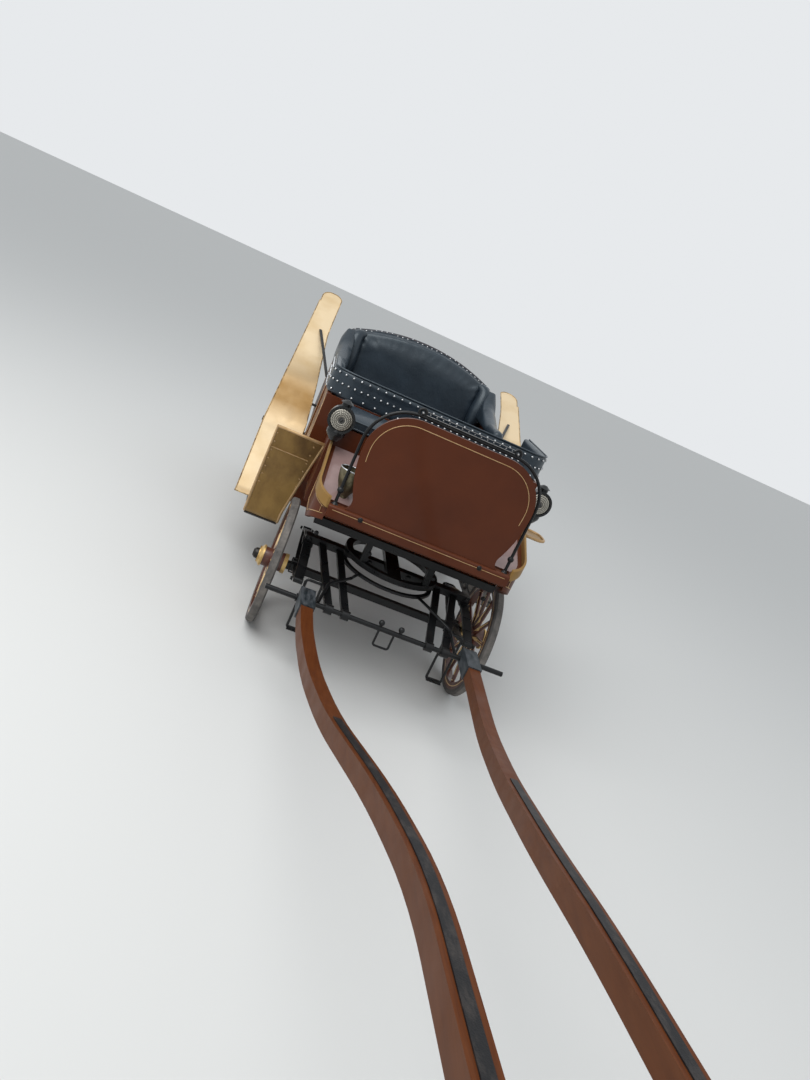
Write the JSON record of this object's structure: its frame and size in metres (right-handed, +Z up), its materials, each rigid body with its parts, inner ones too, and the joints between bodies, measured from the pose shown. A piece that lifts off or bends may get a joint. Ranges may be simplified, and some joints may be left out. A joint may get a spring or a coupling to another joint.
{
  "type": "horse-drawn carriage",
  "caption": "Open four-wheeled pony carriage with facing seats, curved dash, gold mudguards and shafts.",
  "frame": {"origin": "on the floor under the middle of the whole length, with the shafts, and of the width", "axes": "the carriage faces -Y, +X is the driver's left, +Z up"},
  "size_m": [1.7466, 5.355, 1.4438],
  "materials": {
    "body_paint": "gloss brown-maroon paint",
    "gold_paint": "satin gold paint",
    "black_iron": "black painted iron, slightly worn",
    "socket_iron": "worn blue-grey paint",
    "leather": "blue-black seat leather",
    "shaft_wood": "varnished brown wood",
    "black_strip": "black leather strip",
    "wheel_wood": "dark red-brown painted wood",
    "tyre_rubber": "grey-black solid rubber",
    "hub_metal": "gold hub metal",
    "lamp_metal": "aged silver lamp metal",
    "lamp_glass": "clear patterned lens"
  },
  "bodies": {
    "body": {"footboard": "body_paint", "boot_sides": "body_paint", "boot_floor": "body_paint", "sill_mouldings": "gold_paint", "dash_base": "body_paint", "dash_panel": "body_paint", "dash_rail": "lamp_metal", "driver_box": "body_paint", "driver_cushion": "leather", "front_wall": "body_paint", "seat_rail": "leather", "side_panel_left": "body_paint", "side_panel_right": "body_paint", "floor_pan": "body_paint", "front_bench": "body_paint", "front_cushion": "leather", "rear_seat_box": "body_paint", "rear_cushion": "leather", "rear_back": "leather", "rear_back_shell": "body_paint", "rear_arms": "leather", "front_wings": "gold_paint", "rear_wings": "gold_paint", "steps": "gold_paint", "wing_stays": "black_iron", "flat_stays": "black_iron", "lamp_bodies": "lamp_metal", "lamp_lenses": "lamp_glass", "foot_gong": "lamp_metal", "upper_ring": "black_iron", "body_beams": "black_iron", "rear_axle": "black_iron", "rear_springs": "black_iron"},
    "fore_carriage": {"front_axle": "black_iron", "front_springs": "black_iron", "bolster": "black_iron", "lower_ring": "black_iron", "futchells": "black_iron", "cross_bar": "black_iron", "hoop_and_stays": "black_iron", "stirrups": "black_iron"},
    "shafts": {"shaft_left": "shaft_wood", "shaft_right": "shaft_wood", "shaft_strips": "black_strip", "shaft_sockets": "socket_iron"},
    "front_left_wheel": {"wheel_front_left": "wheel_wood", "tyre_front_left": "tyre_rubber", "hub_front_left": "hub_metal"},
    "front_right_wheel": {"wheel_front_right": "wheel_wood", "tyre_front_right": "tyre_rubber", "hub_front_right": "hub_metal"},
    "rear_left_wheel": {"wheel_rear_left": "wheel_wood", "tyre_rear_left": "tyre_rubber", "hub_rear_left": "hub_metal"},
    "rear_right_wheel": {"wheel_rear_right": "wheel_wood", "tyre_rear_right": "tyre_rubber", "hub_rear_right": "hub_metal"}
  },
  "joints": [
    {"name": "steering", "type": "hinge", "parent": "body", "child": "fore_carriage", "pos_m": [0, 0.22252, 0.46], "axis": [0, 0, 1], "range_deg": [-30, 30]},
    {"name": "shaft_pivot", "type": "hinge", "parent": "fore_carriage", "child": "shafts", "pos_m": [0, -0.32248, 0.402], "axis": [1, 0, 0], "range_deg": [-60, 20]},
    {"name": "front_left_wheel_turn", "type": "hinge", "parent": "fore_carriage", "child": "front_left_wheel", "pos_m": [0.5225, 0.22252, 0.31], "axis": [1, 0, 0], "continuous": true},
    {"name": "front_right_wheel_turn", "type": "hinge", "parent": "fore_carriage", "child": "front_right_wheel", "pos_m": [-0.5225, 0.22252, 0.31], "axis": [1, 0, 0], "continuous": true},
    {"name": "rear_left_wheel_turn", "type": "hinge", "parent": "body", "child": "rear_left_wheel", "pos_m": [0.745, 2.17252, 0.505], "axis": [1, 0, 0], "continuous": true},
    {"name": "rear_right_wheel_turn", "type": "hinge", "parent": "body", "child": "rear_right_wheel", "pos_m": [-0.745, 2.17252, 0.505], "axis": [1, 0, 0], "continuous": true}
  ]
}
